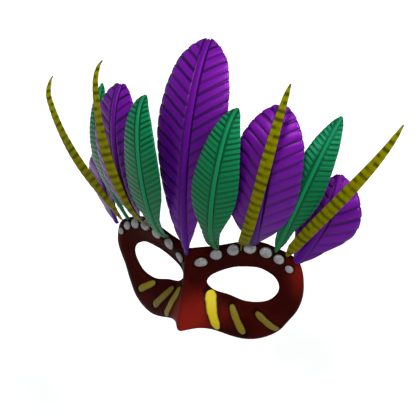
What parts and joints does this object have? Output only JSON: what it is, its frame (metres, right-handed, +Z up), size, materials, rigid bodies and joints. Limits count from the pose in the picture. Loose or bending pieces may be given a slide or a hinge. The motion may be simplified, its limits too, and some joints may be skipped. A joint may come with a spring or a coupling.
{
  "type": "mardi gras mask",
  "caption": "Hard carnival half mask with open eyes, a row of domed stones, painted cheek strokes and a crest of feathers.",
  "frame": {"origin": "inner face of the shell on the bridge of the nose, in the middle plane, where the mask sits on a face", "axes": "+X towards the wearer's left, +Y back towards the face, +Z up"},
  "size_m": [0.3258, 0.0668, 0.247],
  "materials": {
    "shell": "dark red lacquer on moulded paper pulp, satin",
    "stone": "grey pearl",
    "stripe": "thick yellow paint",
    "purple": "dyed purple feather with dark barbs",
    "green": "dyed green feather with dark barbs",
    "yellow": "narrow banded yellow feather"
  },
  "bodies": {
    "root": {"brow_stone_1_left": "stone", "brow_stone_1_right": "stone", "brow_stone_2_left": "stone", "brow_stone_2_right": "stone", "brow_stone_3_left": "stone", "brow_stone_3_right": "stone", "brow_stone_4_left": "stone", "brow_stone_4_right": "stone", "brow_stone_5_left": "stone", "brow_stone_5_right": "stone", "brow_stone_6_left": "stone", "brow_stone_6_right": "stone", "brow_stone_7_left": "stone", "brow_stone_7_right": "stone", "cheek_stripe_1_left": "stripe", "cheek_stripe_1_right": "stripe", "cheek_stripe_2_left": "stripe", "cheek_stripe_2_right": "stripe", "cheek_stripe_3_left": "stripe", "cheek_stripe_3_right": "stripe", "green_feather_inner_left": "green", "green_feather_inner_right": "green", "green_feather_outer_left": "green", "green_feather_outer_right": "green", "mask_shell": "shell", "purple_feather_centre": "purple", "purple_feather_middle_left": "purple", "purple_feather_middle_right": "purple", "purple_feather_outer_left": "purple", "purple_feather_outer_right": "purple", "yellow_feather_inner_left": "yellow", "yellow_feather_inner_right": "yellow", "yellow_feather_outer_left": "yellow", "yellow_feather_outer_right": "yellow"}
  },
  "joints": []
}
